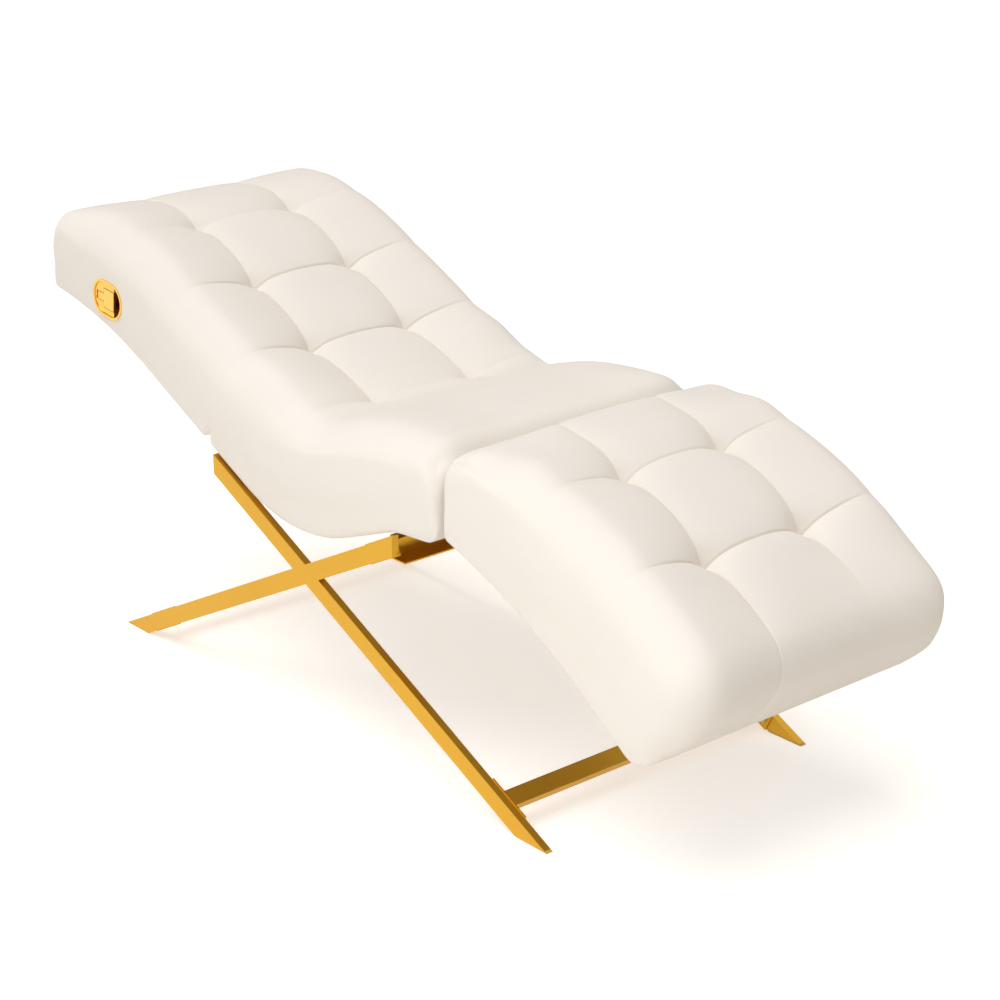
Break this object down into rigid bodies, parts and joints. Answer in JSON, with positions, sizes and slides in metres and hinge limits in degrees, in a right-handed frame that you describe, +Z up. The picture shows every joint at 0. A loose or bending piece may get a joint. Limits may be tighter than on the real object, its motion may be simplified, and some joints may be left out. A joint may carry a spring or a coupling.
{
  "type": "lash chair",
  "caption": "Curved lash chair: tufted ivory cushions with a reclining back and lifting leg rest on a crossed gold tube base, released by a recessed pull handle.",
  "frame": {"origin": "on the floor, midway along the chair's length and width", "axes": "+X toward the foot end, +Y to the sitter's left, +Z up"},
  "size_m": [1.8813, 0.66, 0.8581],
  "materials": {
    "upholstery": "smooth ivory velvet",
    "gold_metal": "satin gold",
    "polished_gold": "plated gold",
    "plywood": "raw plywood",
    "webbing": "elastic webbing",
    "underside_cloth": "cloth-faced board",
    "steel": "zinc plated",
    "black_paint": "black paint",
    "black_plastic": "moulded",
    "gold_plastic": "moulded gold"
  },
  "bodies": {
    "base": {"right_head_leg": "gold_metal", "left_head_leg": "gold_metal", "right_foot_leg_lower": "gold_metal", "left_foot_leg_lower": "gold_metal", "right_foot_leg_upper": "gold_metal", "left_foot_leg_upper": "gold_metal", "leg_end_caps": "gold_metal", "foot_glides": "gold_plastic", "front_upper_rail": "gold_metal", "rear_upper_rail": "gold_metal", "front_lower_rail": "gold_metal", "rear_lower_rail": "gold_metal", "rail_flanges": "gold_metal", "flange_bolts": "steel", "weld_nuts": "steel", "seat_spacers": "black_plastic", "seat_bolts": "steel", "seat_right_board": "plywood", "seat_left_board": "plywood", "seat_cross_rails": "plywood", "seat_webbing": "webbing", "seat_bottom_panel": "underside_cloth", "seat_pad": "upholstery", "back_hinge_seat_plates": "steel", "back_hinge_pins": "steel", "leg_hinge_seat_plates": "steel", "leg_hinge_pins": "steel", "seat_hinge_bolts": "steel", "gas_spring_seat_bracket": "steel", "gas_spring_seat_pin": "steel"},
    "backrest": {"back_right_board": "plywood", "back_left_board": "plywood", "back_cross_rails": "plywood", "back_webbing": "webbing", "back_panel": "underside_cloth", "back_pad": "upholstery", "back_hinge_back_plates": "steel", "back_hinge_bolts": "steel", "gas_spring_back_bracket": "steel", "gas_spring_back_pin": "steel", "handle_housing": "polished_gold", "handle_retainer": "steel", "handle_screws": "steel", "handle_pin": "polished_gold", "release_cable": "black_plastic"},
    "leg_rest": {"leg_right_board": "plywood", "leg_left_board": "plywood", "leg_cross_rails": "plywood", "leg_webbing": "webbing", "leg_bottom_panel": "underside_cloth", "leg_pad": "upholstery", "leg_hinge_leg_plates": "steel", "leg_hinge_bolts": "steel"},
    "pull_paddle": {"pull_paddle": "polished_gold"},
    "release_lever": {"release_lever": "steel"},
    "gas_cylinder": {"gas_spring_cylinder": "black_paint"},
    "gas_rod": {"gas_spring_rod": "steel", "gas_spring_rod_eye": "steel"}
  },
  "joints": [
    {"name": "back_recline", "type": "hinge", "parent": "base", "child": "backrest", "pos_m": [-0.34092, 0, 0.62792], "axis": [0, 1, 0], "range_deg": [0, 35]},
    {"name": "leg_rest_lift", "type": "hinge", "parent": "base", "child": "leg_rest", "pos_m": [0.3145, 0, 0.54], "axis": [0, -1, 0], "range_deg": [0, 12]},
    {"name": "handle_pull", "type": "hinge", "parent": "backrest", "child": "pull_paddle", "pos_m": [-0.76581, -0.3225, 0.70955], "axis": [-0.1045, 0, -0.9945], "range_deg": [0, 30], "stiffness_Nm_per_rad": 0.4, "springref_deg": -8.59},
    {"name": "release_lever_turn", "type": "hinge", "parent": "backrest", "child": "release_lever", "pos_m": [-0.60746, 0, 0.6498], "axis": [0, -1, 0], "range_deg": [0, 20]},
    {"name": "gas_spring_swing", "type": "hinge", "parent": "base", "child": "gas_cylinder", "pos_m": [-0.40571, 0, 0.55844], "axis": [0, 1, 0], "range_deg": [0, 36]},
    {"name": "gas_spring_extension", "type": "slide", "parent": "gas_cylinder", "child": "gas_rod", "axis": [-0.911, 0, 0.4125], "range_m": [0, 0.058]}
  ],
  "couplings": [
    {"joint": "release_lever_turn", "follows": "handle_pull", "ratio": 0.6666},
    {"joint": "gas_spring_swing", "follows": "back_recline", "ratio": 1.025},
    {"joint": "gas_spring_extension", "follows": "back_recline", "m_per_rad": 0.0932}
  ]
}
